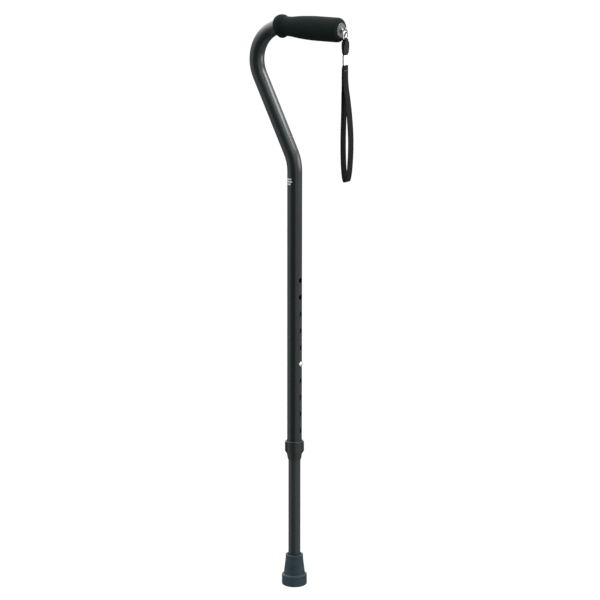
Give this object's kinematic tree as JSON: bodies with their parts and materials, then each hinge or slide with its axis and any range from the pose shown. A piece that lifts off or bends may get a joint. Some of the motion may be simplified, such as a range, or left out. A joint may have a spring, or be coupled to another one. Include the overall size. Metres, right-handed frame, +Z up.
{
  "type": "offset-handle walking cane",
  "caption": "Height-adjustable walking cane with a swan-neck handle, foam grip, wrist strap, snap button, locking collar and single flanged rubber tip.",
  "frame": {"origin": "centre of the rubber tip's bottom face, where the shaft's axis meets the ground", "axes": "+Z up along the shaft, +X the way the handle points, so the bent tube lies in the XZ plane"},
  "size_m": [0.1773, 0.0378, 0.8617],
  "materials": {
    "upper_tube_black": "satin",
    "lower_tube_black": "satin",
    "bush_plastic": "matte",
    "collar_plastic": "satin",
    "spring_steel": "satin",
    "button_metal": "polished",
    "tip_rubber": "matte",
    "washer_steel": "satin",
    "grip_foam": "matte",
    "plug_plastic": "satin",
    "ring_steel": "polished",
    "ferrule_steel": "polished",
    "tab_webbing": "matte",
    "strap_webbing": "matte"
  },
  "bodies": {
    "upper": {"upper_tube": "upper_tube_black", "foam_grip": "grip_foam", "end_plug": "plug_plastic", "screw_eye": "ring_steel", "collet_bush": "bush_plastic"},
    "lower": {"lower_tube": "lower_tube_black", "guide_bush": "bush_plastic", "snap_spring": "spring_steel", "rubber_tip": "tip_rubber", "tip_washer": "washer_steel"},
    "button": {"snap_button": "button_metal"},
    "nut": {"lock_nut": "collar_plastic"},
    "ring": {"strap_ring": "ring_steel"},
    "strap": {"strap_tab": "tab_webbing", "strap_ferrule": "ferrule_steel", "wrist_strap": "strap_webbing"}
  },
  "joints": [
    {"name": "height_adjust", "type": "slide", "parent": "upper", "child": "lower", "axis": [0, 0, -1], "range_m": [-0.127, 0.1016], "deforming": ["snap_button"]},
    {"name": "button_press", "type": "slide", "parent": "lower", "child": "button", "axis": [-1, 0, 0], "range_m": [0, 0.0036], "stiffness_N_per_m": 1500, "springref_m": -0.002, "deforming": ["snap_spring"]},
    {"name": "nut_turn", "type": "hinge", "parent": "upper", "child": "nut", "pos_m": [0, 0, 0.215], "axis": [0, 0, -1], "range_deg": [0, 180]},
    {"name": "ring_swing", "type": "hinge", "parent": "upper", "child": "ring", "pos_m": [0.0878, 0, 0.8429], "axis": [0, -1, 0], "range_deg": [-6, 95]},
    {"name": "strap_swing", "type": "hinge", "parent": "ring", "child": "strap", "pos_m": [0.0878, 0, 0.8307], "axis": [0, -1, 0], "range_deg": [-12, 70]}
  ]
}
